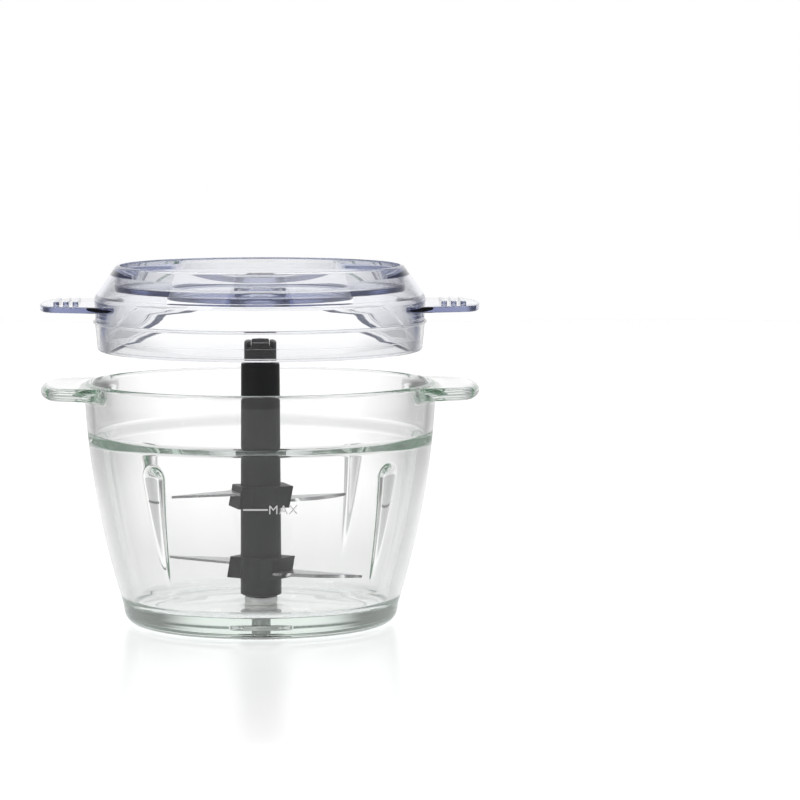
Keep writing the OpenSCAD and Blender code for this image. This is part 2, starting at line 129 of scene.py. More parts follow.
def tab_edge(angle, reach, root_x, root_half, tip_half, corner):
    """Distance from the axis to the edge of a rounded tab, at an angle from its middle."""
    root = Vector((root_x, root_half))
    along = (Vector((reach, tip_half)) - root).normalized()
    inward = Vector((along.y, -along.x))
    start = root + corner * inward
    run = -start.dot(along) + math.sqrt(
        start.dot(along) ** 2 - start.length_squared + (reach - corner) ** 2)
    centre = start + run * along
    touch = centre - corner * inward
    ray = Vector((math.cos(angle), math.sin(angle)))
    if angle <= math.atan2(centre.y, centre.x):
        return reach
    if angle <= math.atan2(touch.y, touch.x):
        near = centre.dot(ray)
        return near + math.sqrt(near ** 2 - centre.length_squared + corner ** 2)
    return max(0, (root.x * along.y - root.y * along.x) / (ray.x * along.y - ray.y * along.x))


def draw_out(bm, plan, section, root, fade, flare):
    """Pulls the marked rings of a turned piece out into its two tabs, which flare at the root."""
    mark = bm.verts.layers.int["mark"]
    for v in bm.verts:
        out = tab_edge(math.atan2(abs(v.co.y), abs(v.co.x)), *plan) - root
        if abs(out) < flare:
            out = (out + flare) ** 2 / (4 * flare)
        if v[mark] and out > 0:
            radius, height = section(root + max(out, fade))[v[mark] - 1]
            share = min(out / fade, 1)
            here = math.hypot(v.co.x, v.co.y)
            there = here + (radius * MM - here) * share
            v.co.x *= there / here
            v.co.y *= there / here
            v.co.z += (height * MM - v.co.z) * share


def bowl_wall(height):
    """Outer radius of the bowl's wall, which bows out a little."""
    t = (height - bowl_foot_round) / (bowl_wall_top - bowl_foot_round)
    return bowl_foot_r + (bowl_rim_r - bowl_foot_r) * t + 4 * bowl_wall_bow * t * (1 - t)


def ear_section(reach):
    """Section of an ear, from the wall out along its underside and back along its top."""
    wall_low = bowl_wall(ear_low) + ear_fillet
    middle = (ear_low + ear_high) / 2
    inner = max(reach - ear_round, wall_low)
    under = [
        (wall_low - ear_fillet * math.cos(a), ear_low - ear_fillet + ear_fillet * math.sin(a))
        for a in (math.pi / 2 * i / 4 for i in range(4))]
    under += [(wall_low + (inner - wall_low) * i / 4, ear_low) for i in range(5)]
    edge = [
        (inner + ear_round * math.cos(a), middle + ear_round * math.sin(a))
        for a in (math.pi * (i / 12 - 0.5) for i in range(1, 12))]
    over = [(inner + (ear_top_r - inner) * i / 6, ear_high) for i in range(7)]
    return under + edge + over


rim_mid_r = bowl_rim_r - bowl_rim_round
ear_turn = math.asin((ear_high - bowl_wall_top) / bowl_rim_round)
ear_top_r = rim_mid_r + bowl_rim_round * math.cos(ear_turn)
ear_rings = len(ear_section(ear_reach))
bowl_outline = [
    (pin_hole_r, nut_pocket_z), (nut_pocket_r, nut_pocket_z, 0.4), (nut_pocket_r, foot_hollow_z, 0.6),
    (foot_hollow_r, foot_hollow_z, 0.4), (foot_hollow_r + foot_hollow_z, 0, 0.4),
    (bowl_foot_r - 0.2, 0, bowl_foot_round)]
for i in range(14):
    height = wall_low_z + (wall_high_z - wall_low_z) * i / 13
    bowl_outline.append((bowl_wall(height), height))
for i in range(ear_rings):
    height = ear_low - ear_fillet + (ear_high - ear_low + ear_fillet) * i / (ear_rings - 1)
    over = max(0, height - bowl_wall_top)
    radius = rim_mid_r + math.sqrt(bowl_rim_round ** 2 - over ** 2) if over else bowl_wall(height)
    bowl_outline.append((radius, height, 0, i + 1))
for i in range(1, 11):
    a = ear_turn + (math.pi - ear_turn) * i / 10
    radius, height = rim_mid_r + bowl_rim_round * math.cos(a), bowl_wall_top + bowl_rim_round * math.sin(a)
    bowl_outline.append((radius, height))
bowl_outline += [
    (ledge_top_r, ledge_top_z, 1.2), (bowl_wall(ledge_low_z) - bowl_wall_thick, ledge_low_z, 0.9)]
for i in range(41):
    height = inner_high_z - (inner_high_z - inner_low_z) * i / 40
    bowl_outline.append((bowl_wall(height) - bowl_wall_thick, height))
bowl_outline += [
    (bowl_wall(floor_edge_z) - bowl_wall_thick, bowl_floor_z, floor_round), (pin_hole_r, bowl_floor_z, 0.3)]

bowl_mesh = turned(bowl_outline, 512)
ear_root_x = math.sqrt(bowl_rim_r ** 2 - ear_root_half ** 2) - bowl_wall_thick
ear_plan = (ear_reach, ear_root_x, ear_root_half, ear_tip_half, ear_corner)
draw_out(bowl_mesh, ear_plan, ear_section, bowl_rim_r, fade=2 * ear_round, flare=4)

rib_top, rib_foot = 67, 19
rib_top_r, rib_foot_r = 4.6, 1.0
rib_turn = math.radians(50)
rib_half_turn = math.radians(7)
rib_spread = 1.25
rib_sunk = 0.3
rib_zone_low, rib_zone_high = 15, 76
wall_slack = 0.05


def rib_offset(co):
    """Angle from the nearest rib, or none away from the inner wall that carries the ribs."""
    height = co.z / MM
    inner = bowl_wall(height) - bowl_wall_thick
    on_wall = abs(math.hypot(co.x, co.y) / MM - inner) < wall_slack
    if on_wall and rib_zone_low < height < rib_zone_high:
        return (math.atan2(co.y, co.x) - rib_turn + math.pi / 4) % (math.pi / 2) - math.pi / 4


rib_edges = []
for e in bowl_mesh.edges:
    offsets = [rib_offset(v.co) for v in e.verts]
    if all(off is not None and abs(off) < rib_half_turn for off in offsets):
        rib_edges.append(e)
bmesh.ops.subdivide_edges(bowl_mesh, edges=rib_edges, cuts=2, use_grid_fill=True)
for v in bowl_mesh.verts:
    off = rib_offset(v.co)
    if off is not None and abs(off) < rib_half_turn:
        here, height = math.hypot(v.co.x, v.co.y) / MM, v.co.z / MM
        t = min((height - rib_foot) / (rib_top - rib_foot), 1)
        size = rib_foot_r + (rib_top_r - rib_foot_r) * t
        sunk = rib_sunk + rib_foot_r * (1 - t)
        away = math.hypot(here * math.sin(off), max(0, height - rib_top)) / (rib_spread * size)
        if size > sunk and away < 1:
            bulge = (size - sunk) * math.cos(math.pi / 2 * away) ** 2
            v.co.x *= 1 - bulge / here
            v.co.y *= 1 - bulge / here


def effect(name, takes, gives):
    """A node group for an effect that materials share, with its input and output nodes."""
    tree = bpy.data.node_groups.new(name, "ShaderNodeTree")
    for way, sockets in (("INPUT", takes), ("OUTPUT", gives)):
        for socket, kind in sockets.items():
            tree.interface.new_socket(socket, in_out=way, socket_type=f"NodeSocket{kind}")
    return tree, tree.nodes.new("NodeGroupInput"), tree.nodes.new("NodeGroupOutput")


smudges, given, result = effect(
    "faint smudges", {"Scale": "Float", "Clean": "Float", "Smudged": "Float"},
    {"Roughness": "Float", "Height": "Float"})
place = smudges.nodes.new("ShaderNodeTexCoord")
cloud = smudges.nodes.new("ShaderNodeTexNoise")
cloud.inputs["Detail"].default_value = 3
spread = smudges.nodes.new("ShaderNodeMapRange")
spread.inputs["From Min"].default_value = 0.5
spread.inputs["From Max"].default_value = 0.75
ripple = smudges.nodes.new("ShaderNodeTexNoise")
ripple.inputs["Scale"].default_value = 40
ripple.inputs["Detail"].default_value = 1
smudges.links.new(place.outputs["Object"], cloud.inputs["Vector"])
smudges.links.new(given.outputs["Scale"], cloud.inputs["Scale"])
smudges.links.new(cloud.outputs["Fac"], spread.inputs["Value"])
smudges.links.new(given.outputs["Clean"], spread.inputs["To Min"])
smudges.links.new(given.outputs["Smudged"], spread.inputs["To Max"])
smudges.links.new(spread.outputs["Result"], result.inputs["Roughness"])
smudges.links.new(place.outputs["Object"], ripple.inputs["Vector"])
smudges.links.new(ripple.outputs["Fac"], result.inputs["Height"])


def clear_finish(name, ior, tint, density, scale, clean, smudged, wave):
    """A see-through material whose tint comes from its thickness. Lamps shine through it."""
    material = bpy.data.materials.new(name)
    material.use_nodes = True
    tree = material.node_tree
    shader = tree.nodes["Principled BSDF"]
    shader.inputs["Base Color"].default_value = (1, 1, 1, 1)
    shader.inputs["Transmission Weight"].default_value = 1
    shader.inputs["IOR"].default_value = ior
    marks = tree.nodes.new("ShaderNodeGroup")
    marks.node_tree = smudges
    marks.inputs["Scale"].default_value = scale
    marks.inputs["Clean"].default_value = clean
    marks.inputs["Smudged"].default_value = smudged
    bump = tree.nodes.new("ShaderNodeBump")
    bump.inputs["Strength"].default_value = wave
    bump.inputs["Distance"].default_value = 0.001
    path = tree.nodes.new("ShaderNodeLightPath")
    through = tree.nodes.new("ShaderNodeBsdfTransparent")
    mixed = tree.nodes.new("ShaderNodeMixShader")
    depth = tree.nodes.new("ShaderNodeVolumeAbsorption")
    depth.inputs["Color"].default_value = (*tint, 1)
    depth.inputs["Density"].default_value = density
    out = tree.nodes["Material Output"]
    tree.links.new(marks.outputs["Roughness"], shader.inputs["Roughness"])
    tree.links.new(marks.outputs["Height"], bump.inputs["Height"])
    tree.links.new(bump.outputs["Normal"], shader.inputs["Normal"])
    tree.links.new(path.outputs["Is Shadow Ray"], mixed.inputs["Fac"])
    tree.links.new(shader.outputs["BSDF"], mixed.inputs[1])
    tree.links.new(through.outputs["BSDF"], mixed.inputs[2])
    tree.links.new(mixed.outputs["Shader"], out.inputs["Surface"])
    tree.links.new(depth.outputs["Volume"], out.inputs["Volume"])
    return material


bowl_glass = clear_finish(
    "bowl glass", ior=1.5, tint=(0.42, 0.68, 0.5), density=3, scale=22,
    clean=0.0, smudged=0.02, wave=0.02)
bowl = put("bowl", bowl_mesh, bowl_glass, sharp=45)
even_normals(bowl)
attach(bowl, "bowl")
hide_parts("glass_bowl")

# Fill mark: a short line and the letters MAX, printed in white ink on the front of the
# glass, a little above half the height of the bowl.
mark_z = 55.8
letter_height = 3.7
mark_line = (-7.2, 2.9)
line_width = 0.7
letters_left = 3.0
ink_proud = 0.06
ink_thick = 0.04
longest_edge = 2
ink = bpy.data.materials.new("white ink")
ink.use_nodes = True
ink_shader = ink.node_tree.nodes["Principled BSDF"]
ink_shader.inputs["Roughness"].default_value = 0.45
ink_place = ink.node_tree.nodes.new("ShaderNodeTexCoord")
ink_screen = ink.node_tree.nodes.new("ShaderNodeTexNoise")
ink_screen.inputs["Scale"].default_value = 2500
ink_ramp = ink.node_tree.nodes.new("ShaderNodeValToRGB")
ink_ramp.color_ramp.elements[0].color = (0.72, 0.72, 0.72, 1)
ink_ramp.color_ramp.elements[1].color = (0.86, 0.86, 0.86, 1)
ink.node_tree.links.new(ink_place.outputs["Object"], ink_screen.inputs["Vector"])
ink.node_tree.links.new(ink_screen.outputs["Fac"], ink_ramp.inputs["Fac"])
ink.node_tree.links.new(ink_ramp.outputs["Color"], ink_shader.inputs["Base Color"])

letters = bpy.data.curves.new("letters", "FONT")
letters.body = "MAX"
letters.size = 5.3
letters.space_character = 1.12
letters.extrude = ink_thick / 2
lettering = bpy.data.objects.new("letters", letters)
scene.collection.objects.link(lettering)
mark_mesh = bmesh.new()
mark_mesh.from_mesh(lettering.to_mesh())
bpy.data.objects.remove(lettering)
bmesh.ops.translate(mark_mesh, verts=mark_mesh.verts, vec=(letters_left, -letter_height / 2, 0))
line = bmesh.ops.create_cube(mark_mesh, size=1)["verts"]
bmesh.ops.scale(mark_mesh, verts=line, vec=(mark_line[1] - mark_line[0], line_width, ink_thick))
bmesh.ops.translate(mark_mesh, verts=line, vec=((mark_line[0] + mark_line[1]) / 2, 0, 0))
bmesh.ops.remove_doubles(mark_mesh, verts=mark_mesh.verts, dist=0.001)
long_edges = [e for e in mark_mesh.edges if e.calc_length() > longest_edge]
bmesh.ops.subdivide_edges(mark_mesh, edges=long_edges, cuts=5)
bmesh.ops.recalc_face_normals(mark_mesh, faces=mark_mesh.faces)
for v in mark_mesh.verts:
    height = mark_z + v.co.y
    radius = bowl_wall(height) + ink_proud + v.co.z
    turn = v.co.x / bowl_wall(mark_z)
    v.co = Vector((radius * math.sin(turn), -radius * math.cos(turn), height)) * MM
fill_mark = put("fill_mark", mark_mesh, ink)
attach(fill_mark, "bowl")

# Pivot pin: turned steel, with a flange that is clamped on the glass floor by a washer
# and a nut from below, with a soft gasket on either side of the glass.
brushed, given, result = effect(
    "brushed lines", {"Stretch": "Vector", "Dull": "Float", "Bright": "Float"},
    {"Roughness": "Float", "Lines": "Float"})
place = brushed.nodes.new("ShaderNodeTexCoord")
stretch = brushed.nodes.new("ShaderNodeVectorMath")
stretch.operation = "MULTIPLY"
lines = brushed.nodes.new("ShaderNodeTexNoise")
lines.inputs["Scale"].default_value = 1
lines.inputs["Detail"].default_value = 4
spread = brushed.nodes.new("ShaderNodeMapRange")
spread.inputs["From Min"].default_value = 0.3
spread.inputs["From Max"].default_value = 0.7
brushed.links.new(place.outputs["Object"], stretch.inputs[0])
brushed.links.new(given.outputs["Stretch"], stretch.inputs[1])
brushed.links.new(stretch.outputs["Vector"], lines.inputs["Vector"])
brushed.links.new(lines.outputs["Fac"], spread.inputs["Value"])
brushed.links.new(given.outputs["Bright"], spread.inputs["To Min"])
brushed.links.new(given.outputs["Dull"], spread.inputs["To Max"])
brushed.links.new(spread.outputs["Result"], result.inputs["Roughness"])
brushed.links.new(lines.outputs["Fac"], result.inputs["Lines"])


def steel_finish(name, colour, stretch, bright, dull, depth):
    """Steel with fine lines from brushing, turning or grinding."""
    material = bpy.data.materials.new(name)
    material.use_nodes = True
    tree = material.node_tree
    shader = tree.nodes["Principled BSDF"]
    shader.inputs["Metallic"].default_value = 1
    lined = tree.nodes.new("ShaderNodeGroup")
    lined.node_tree = brushed
    lined.inputs["Stretch"].default_value = stretch
    lined.inputs["Bright"].default_value = bright
    lined.inputs["Dull"].default_value = dull
    shade = tree.nodes.new("ShaderNodeValToRGB")
    shade.color_ramp.elements[0].color = (*(0.86 * c for c in colour), 1)
    shade.color_ramp.elements[0].position = 0.3
    shade.color_ramp.elements[1].color = (*colour, 1)
    shade.color_ramp.elements[1].position = 0.7
    bump = tree.nodes.new("ShaderNodeBump")
    bump.inputs["Strength"].default_value = depth
    bump.inputs["Distance"].default_value = 0.0001
    tree.links.new(lined.outputs["Lines"], shade.inputs["Fac"])
    tree.links.new(shade.outputs["Color"], shader.inputs["Base Color"])
    tree.links.new(lined.outputs["Roughness"], shader.inputs["Roughness"])
    tree.links.new(lined.outputs["Lines"], bump.inputs["Height"])
    tree.links.new(bump.outputs["Normal"], shader.inputs["Normal"])
    return material


turned_steel = steel_finish(
    "turned steel", (0.8, 0.8, 0.79), (60, 60, 4000), bright=0.3, dull=0.45, depth=0.15)
pin_outline = [
    (0, 0.8), (2.5, 0.8, 0.4), (2.5, 10.3), (7, 10.3, 0.2), (7, 11.9, 0.4), (3, 11.9, 0.3),
    (3, 61.5, 0.8), (0, 61.5)]
pin = put("pin", turned(pin_outline, 96), turned_steel)
even_normals(pin)
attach(pin, "bowl")
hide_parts("pivot_pin")


def recoat(node, material):
    """Gives a node that keeps its shape its material."""
    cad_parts[node].data.materials.clear()
    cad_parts[node].data.materials.append(material)


recoat("pin_washer", turned_steel)
recoat("pin_nut", turned_steel)

grained, given, result = effect(
    "moulded grain", {"Colour": "Color", "Scale": "Float", "Roughness": "Float"},
    {"Colour": "Color", "Roughness": "Float", "Height": "Float"})
place = grained.nodes.new("ShaderNodeTexCoord")
pits = grained.nodes.new("ShaderNodeTexNoise")
pits.inputs["Detail"].default_value = 2
handled = grained.nodes.new("ShaderNodeTexNoise")
handled.inputs["Scale"].default_value = 90
handled.inputs["Detail"].default_value = 3
lighter = grained.nodes.new("ShaderNodeMapRange")
lighter.inputs["To Min"].default_value = 0.8
lighter.inputs["To Max"].default_value = 1.25
tone = grained.nodes.new("ShaderNodeVectorMath")
tone.operation = "SCALE"
polish = grained.nodes.new("ShaderNodeMapRange")
polish.inputs["To Min"].default_value = -0.08
polish.inputs["To Max"].default_value = 0.08
rough = grained.nodes.new("ShaderNodeMath")
rough.operation = "ADD"
grained.links.new(place.outputs["Object"], pits.inputs["Vector"])
grained.links.new(given.outputs["Scale"], pits.inputs["Scale"])
grained.links.new(place.outputs["Object"], handled.inputs["Vector"])
grained.links.new(handled.outputs["Fac"], lighter.inputs["Value"])
grained.links.new(given.outputs["Colour"], tone.inputs[0])
grained.links.new(lighter.outputs["Result"], tone.inputs["Scale"])
grained.links.new(tone.outputs["Vector"], result.inputs["Colour"])
grained.links.new(handled.outputs["Fac"], polish.inputs["Value"])
grained.links.new(given.outputs["Roughness"], rough.inputs[0])
grained.links.new(polish.outputs["Result"], rough.inputs[1])
grained.links.new(rough.outputs["Value"], result.inputs["Roughness"])
grained.links.new(pits.outputs["Fac"], result.inputs["Height"])


def soft_finish(name, colour, grain, rough, gloss):
    """Moulded plastic or rubber with a fine grain."""
    material = bpy.data.materials.new(name)
    material.use_nodes = True
    tree = material.node_tree
    shader = tree.nodes["Principled BSDF"]
    shader.inputs["Specular IOR Level"].default_value = gloss
    moulded = tree.nodes.new("ShaderNodeGroup")
    moulded.node_tree = grained
    moulded.inputs["Colour"].default_value = (*colour, 1)
    moulded.inputs["Scale"].default_value = grain
    moulded.inputs["Roughness"].default_value = rough
    bump = tree.nodes.new("ShaderNodeBump")
    bump.inputs["Strength"].default_value = 0.02
    bump.inputs["Distance"].default_value = 0.0001
    tree.links.new(moulded.outputs["Colour"], shader.inputs["Base Color"])
    tree.links.new(moulded.outputs["Roughness"], shader.inputs["Roughness"])
    tree.links.new(moulded.outputs["Height"], bump.inputs["Height"])
    tree.links.new(bump.outputs["Normal"], shader.inputs["Normal"])
    return material


gasket_rubber = soft_finish("gasket rubber", (0.72, 0.72, 0.69), 1800, 0.55, 0.5)
recoat("pin_gasket", gasket_rubber)
recoat("under_gasket", gasket_rubber)

# Bearing sleeve: white plastic, closed at its top, which stands on the pin and snaps
# into the shaft with a low bead.
sleeve_white = soft_finish("sleeve white", (0.72, 0.72, 0.7), 1500, 0.4, 0.5)
sleeve_outline = [
    (0, 61.5), (3.05, 61.5), (3.05, 12.4, 0.2), (5.2, 12.4, 0.3), (5.2, 15.4), (5.6, 15.9, 0.2),
    (5.2, 16.4), (5.2, 64, 0.4), (0, 64)]
sleeve = put("sleeve", turned(sleeve_outline, 96), sleeve_white)
even_normals(sleeve)
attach(sleeve, "sleeve")
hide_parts("pivot_sleeve")

# Blade shaft: black moulded plastic, a little wider at its foot, with a narrower drive
# end that is notched across its top.
shaft_black = soft_finish("shaft black", (0.008, 0.008, 0.0085), 3000, 0.45, 0.25)
shaft_top_r, shaft_low_r = 8.15, 8.7
shaft_foot_z, shoulder_z = 12.4, 110
drive_end_r, drive_end_z = 6.8, 118.2
socket_hole_r, socket_hole_z = 4.43, 105.2
sleeve_hole_r, sleeve_hole_z = 5.25, 64
bead_groove_r, bead_groove_low, bead_groove_high = 5.65, 15.35, 16.45
notch_size = (16, 2.6, 3)
notch_z = 118.1


def shaft_r(height):
    """Radius of the shaft, which narrows towards its shoulder."""
    rise = (height - shaft_foot_z) / (shoulder_z - shaft_foot_z)
    return shaft_low_r + (shaft_top_r - shaft_low_r) * rise


shaft_outline = [
    (0, socket_hole_z), (socket_hole_r, socket_hole_z), (socket_hole_r, drive_end_z, 0.3),
    (drive_end_r, drive_end_z, 0.6), (drive_end_r, shoulder_z, 0.3), (shaft_top_r, shoulder_z, 0.6),
    (shaft_low_r, shaft_foot_z, 0.6), (sleeve_hole_r, shaft_foot_z, 0.2),
    (sleeve_hole_r, bead_groove_low), (bead_groove_r, bead_groove_low),
    (bead_groove_r, bead_groove_high), (sleeve_hole_r, bead_groove_high),
    (sleeve_hole_r, sleeve_hole_z), (0, sleeve_hole_z)]


def join(piece, other, operation):
    """Joins another closed object to a piece, or cuts it out, and removes it."""
    step = piece.modifiers.new("join", "BOOLEAN")
    step.object = other
    step.operation = operation
    step.solver = "MANIFOLD"
    graph = bpy.context.evaluated_depsgraph_get()
    mesh = bpy.data.meshes.new_from_object(piece.evaluated_get(graph))
    piece.modifiers.remove(step)
    piece.data = mesh
    bpy.data.objects.remove(other)


def box(size, middle=(0, 0, 0)):
    """A box round a point, both in millimetres."""
    bm = bmesh.new()
    bmesh.ops.create_cube(bm, size=MM)
    bmesh.ops.scale(bm, verts=bm.verts, vec=size)
    bmesh.ops.translate(bm, verts=bm.verts, vec=Vector(middle) * MM)
    return bm


shaft = put("shaft", turned(shaft_outline, 128), shaft_black)
for turn in (math.pi / 4, 3 * math.pi / 4):
    notch = box(notch_size, (0, 0, notch_z))
    bmesh.ops.rotate(notch, verts=notch.verts, cent=(0, 0, 0), matrix=Matrix.Rotation(turn, 3, "Z"))
    join(shaft, put("notch", notch, shaft_black), "DIFFERENCE")
shaft.data.set_sharp_from_angle(angle=math.radians(35))
even_normals(shaft)
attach(shaft, "blade_set")
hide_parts("blade_shaft")

socket_steel = steel_finish(
    "socket steel", (0.5, 0.5, 0.5), (900, 900, 900), bright=0.28, dull=0.4, depth=0.1)
recoat("drive_socket", socket_steel)

# Blade carriers: black collars on the shaft, each with two wedge lugs that are moulded
# round a blade. The lugs are turned over against each other.
carrier_height = 9
collar_r = 9.7
lug_half = 8
lug_reach, lug_waist = 12, 10.2
carrier_round = 0.45
push_gap = 0.03
# Height of each blade, its turn in degrees and its reach
blade_tiers = {"upper": (54, 16, 42), "lower": (24, -35, 50)}


def tier_place(tier):
    """Places a piece that is made round the origin at its blade's height and turn."""
    height, turn, _ = blade_tiers[tier]
    return Matrix.Translation((0, 0, height * MM)) @ Matrix.Rotation(math.radians(turn), 4, "Z")


def carrier_plan(right, left):
    """Plan of a carrier: a collar with a lug that reaches out on either side."""
    lug_turn = math.asin(lug_half / collar_r)
    angles = [lug_turn + (math.pi - 2 * lug_turn) * i / 32 for i in range(33)]
    back = [(collar_r * math.cos(a), collar_r * math.sin(a)) for a in angles]
    front = [(-x, -y) for x, y in back]
    return [(right, -lug_half), (right, lug_half), *back, (-left, lug_half), (-left, -lug_half), *front]


def plug(low_r, high_r, length):
    """An upright round cutter round the origin, which may taper, in millimetres."""
    bm = bmesh.new()
    bmesh.ops.create_cone(
        bm, cap_ends=True, segments=96, radius1=low_r * MM, radius2=high_r * MM, depth=length * MM)
    return bm


for tier, (height, _, _) in blade_tiers.items():
    block = bmesh.new()
    half = carrier_height / 2
    low_plan, high_plan = carrier_plan(lug_waist, lug_reach), carrier_plan(lug_reach, lug_waist)
    low = [block.verts.new((x * MM, y * MM, -half * MM)) for x, y in low_plan]
    high = [block.verts.new((x * MM, y * MM, half * MM)) for x, y in high_plan]
    block.faces.new(reversed(low))
    block.faces.new(high)
    for i in range(len(low)):
        block.faces.new((low[i - 1], low[i], high[i], high[i - 1]))
    corners = [e for e in block.edges if e.calc_face_angle() > math.radians(40)]
    bmesh.ops.bevel(
        block, geom=corners, offset=carrier_round * MM, offset_type="OFFSET", segments=3,
        profile=0.5, affect="EDGES", material=-1)
    carrier = put(f"{tier}_holder", block, shaft_black)
    bore = plug(
        shaft_r(height - carrier_height) + push_gap, shaft_r(height + carrier_height) + push_gap,
        2 * carrier_height)
    join(carrier, put("bore", bore, shaft_black), "DIFFERENCE")
    carrier.data.transform(tier_place(tier))
    carrier.data.set_sharp_from_angle(angle=math.radians(35))
    even_normals(carrier)
    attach(carrier, "blade_set")
    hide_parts(f"{tier}_carrier")

# Blades: brushed steel strips, one wing higher than the other, whose cutting sides sweep
# round to the tips and are ground to an edge from above.
blade_thick = 1
blade_half = 7.25
wing_lift = 1.6
joggle_x = 8.9
joggle_tuck = 0.2
eye_r = 5.6
ground_width, ground_share = 3.4, 0.55
ground_start = 6
sweep_share, start_share = 0.9, 0.25
# The blade steel is darker than plain steel: a painted dark reflection, standing in for the dim
# surroundings that the blades mirror.
blade_steel_painted_dark = steel_finish(
    "blade steel", (0.42, 0.42, 0.43), (40, 2600, 2600), bright=0.2, dull=0.36, depth=0.12)
ground_steel = steel_finish(
    "ground steel", (0.5, 0.5, 0.51), (2600, 60, 60), bright=0.12, dull=0.22, depth=0.08)


def wing(reach, root_x):
    """One wing along +X with its cutting side towards -Y, ground from above."""
    sweep_r = sweep_share * reach
    centre = Vector((start_share * reach, sweep_r - blade_half))
    tip_turn = math.asin((blade_half - centre.y) / sweep_r)
    arc = [
        centre + sweep_r * Vector((math.cos(a), math.sin(a)))
        for a in (-math.pi / 2 + (tip_turn + math.pi / 2) * i / 28 for i in range(29))]
    outline = [Vector((root_x, -blade_half))] + arc + [Vector((root_x, blade_half))]
    bm = bmesh.new()
    low = [bm.verts.new((p.x * MM, p.y * MM, -blade_thick / 2 * MM)) for p in outline]
    face = bm.faces.new(low)
    drawn = bmesh.ops.extrude_face_region(bm, geom=[face])["geom"]
    high = [g for g in drawn if isinstance(g, bmesh.types.BMVert)]
    bmesh.ops.translate(bm, verts=high, vec=(0, 0, blade_thick * MM))
    for v in high:
        from_edge = Vector((v.co.x / MM, v.co.y / MM)) - centre
        if from_edge.y < 0 and abs(from_edge.length - sweep_r) < 0.01 and v.co.x / MM > centre.x - 0.01:
            room = (blade_half - v.co.y / MM) * ground_share
            share = min(1, (v.co.x / MM - centre.x) / ground_start)
            inward = -from_edge.normalized() * min(ground_width, room) * share * MM
            v.co.x += inward.x
            v.co.y += inward.y
    bmesh.ops.recalc_face_normals(bm, faces=bm.faces)
    for f in bm.faces:
        if 0.1 < f.normal.z < 0.98:
            f.material_index = 1
    return bm


half_turn = Matrix.Rotation(math.pi, 3, "Z")
for tier, (_, _, reach) in blade_tiers.items():
    high_wing = wing(reach, -joggle_x - blade_thick + joggle_tuck)
    bmesh.ops.rotate(high_wing, verts=high_wing.verts, cent=(0, 0, 0), matrix=half_turn)
    bmesh.ops.translate(high_wing, verts=high_wing.verts, vec=(0, 0, wing_lift * MM))
    blade = put(f"{tier}_knife", high_wing, blade_steel_painted_dark)
    blade.data.materials.append(ground_steel)
    low_wing = wing(reach, joggle_x + joggle_tuck)
    bmesh.ops.translate(low_wing, verts=low_wing.verts, vec=(0, 0, -wing_lift * MM))
    low_part = put("low wing", low_wing, blade_steel_painted_dark)
    low_part.data.materials.append(ground_steel)
    join(blade, low_part, "UNION")
    joggle_size = (blade_thick, 2 * blade_half - joggle_tuck, 2 * wing_lift + blade_thick - joggle_tuck)
    joggle = box(joggle_size, (joggle_x + blade_thick / 2, 0, 0))
    join(blade, put("joggle", joggle, blade_steel_painted_dark), "UNION")
    join(blade, put("eye", plug(eye_r, eye_r, carrier_height), blade_steel_painted_dark), "DIFFERENCE")
    blade.data.transform(tier_place(tier))
    blade.data.set_sharp_from_angle(angle=math.radians(12))
    even_normals(blade)
    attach(blade, "blade_set")
    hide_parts(f"{tier}_blade")

# Lid: clear plastic with a faint blue tint, moulded in one piece with two grip tabs. Its
# top has a stepped recess for the motor unit, with a collar round the shaft's hole.
lid_z = 133
tab_thick = 2.5
tab_reach = 92.39
tab_round = 0.5
tab_root_half = 34.5
tab_tip_half = 24
tab_corner = 8
band_r = 69.75
lid_wall = 2.1
skirt_in_r, skirt_out_r = 65.35, 67.45
skirt_foot, skirt_step = -16.3, -4.8
grip_size = (2.4, 28, 2.3)
grip_middle, grip_pitch = 81.065, 4
grip_proud = 1.3
grip_side_round, grip_top_round = 1.15, 0.5


def tab_section(reach):
    """Section of a tab, from the band out along its underside and back along its top."""
    inner = reach - tab_round
    under = [(band_r + (inner - band_r) * i / 4, 0) for i in range(5)]
    low = [
        (inner + tab_round * math.cos(a), tab_round + tab_round * math.sin(a))
        for a in (math.pi / 2 * (i / 4 - 1) for i in range(1, 5))]
    high = [(radius, tab_thick - height) for radius, height in reversed(low)]
    over = [(radius, tab_thick) for radius, _ in reversed(under)]
    return [(radius, lid_z + height) for radius, height in under + low + high + over]


tab_rings = len(tab_section(tab_reach))
lid_outline = [
    (8.8, 3.7, 0.3), (39.1, 3.7, 0.5), (39.1, 7.3, 0.4), (61.1, 7.3, 0.8), (61.1, 13.68, 0.3),
    (67.65, 4.34, 1), (65.9, skirt_step, 6), (skirt_in_r, skirt_foot, 0.3),
    (skirt_out_r, skirt_foot, 0.3), (skirt_out_r, skirt_step), (69.35, skirt_step, 0.2), (69.35, 0)]
lid_outline += [(band_r, tab_thick * i / (tab_rings - 1), 0, i + 1) for i in range(tab_rings)]
lid_outline += [
    (band_r, 5, 1.2), (60.4, 18.4, 1.15), (59, 18.4, 0.2), (59, 9.4, 0.9),
    (37, 9.4, 0.7), (37, 5.8, 0.7), (10.9, 5.8, 0.4), (10.9, 8.8, 0.5), (8.8, 8.8, 0.5)]
lid_outline = [(radius, lid_z + height, *rest) for radius, height, *rest in lid_outline]
lid_mesh = turned(lid_outline, 480)
tab_root_x = math.sqrt(band_r ** 2 - tab_root_half ** 2) - lid_wall
tab_plan = (tab_reach, tab_root_x, tab_root_half, tab_tip_half, tab_corner)
draw_out(lid_mesh, tab_plan, tab_section, band_r, fade=2 * tab_round, flare=1)
lid_plastic = clear_finish(
    "lid plastic", ior=1.49, tint=(0.0, 0.08, 0.45), density=22, scale=16,
    clean=0.0, smudged=0.03, wave=0.02)
lid = put("lid_shell", lid_mesh, lid_plastic, sharp=40)
